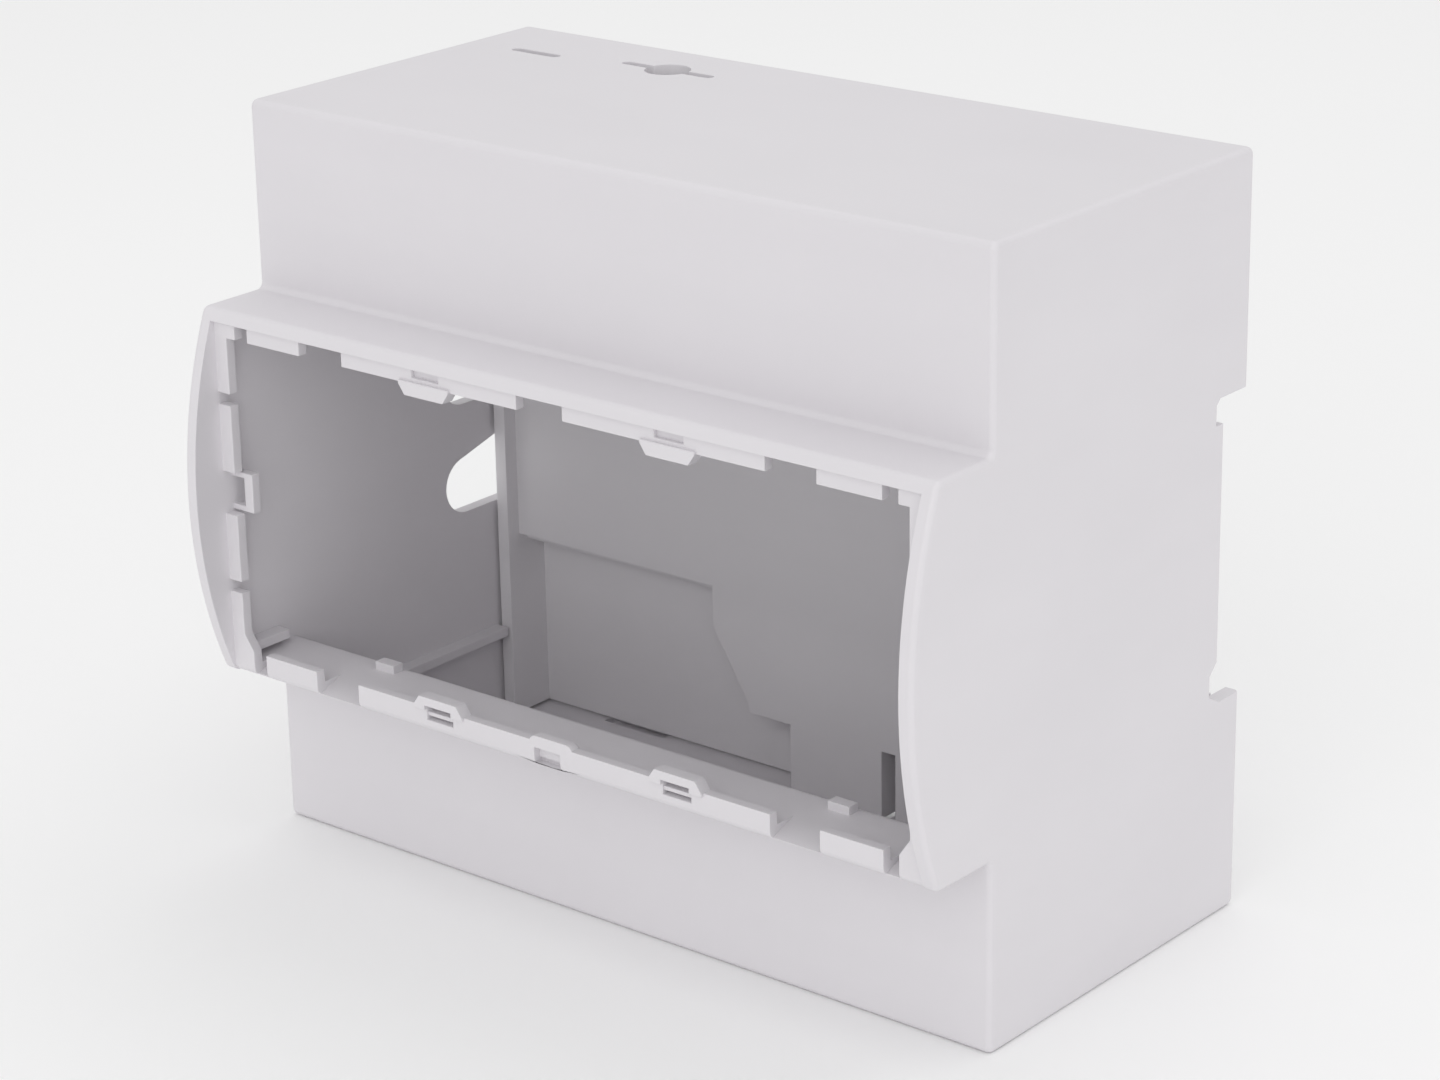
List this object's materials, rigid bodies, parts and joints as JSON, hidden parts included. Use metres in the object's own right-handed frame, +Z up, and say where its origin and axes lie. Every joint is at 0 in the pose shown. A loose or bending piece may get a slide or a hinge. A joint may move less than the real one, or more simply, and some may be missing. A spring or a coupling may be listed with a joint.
{
  "type": "electronics enclosure",
  "caption": "Rail-mount modular electronics enclosure in pale grey plastic: stepped moulded housing with an open front, a snap-in base with a rail channel and a sliding rail latch.",
  "frame": {"origin": "under the middle of the enclosure, on the surface it stands on", "axes": "+X across the modules, +Y towards the rail behind, +Z up"},
  "size_m": [0.1056, 0.062, 0.09],
  "materials": {
    "housing_plastic": "fine satin moulding",
    "base_plastic": "fine satin moulding",
    "latch_plastic": "plain moulding"
  },
  "bodies": {
    "enclosure": {"housing": "housing_plastic", "base": "base_plastic"},
    "latch": {"rail_latch": "latch_plastic"}
  },
  "joints": [
    {"name": "latch_slide", "type": "slide", "parent": "enclosure", "child": "latch", "axis": [0, 0, -1], "range_m": [0, 0.0026], "stiffness_N_per_m": 1500}
  ]
}
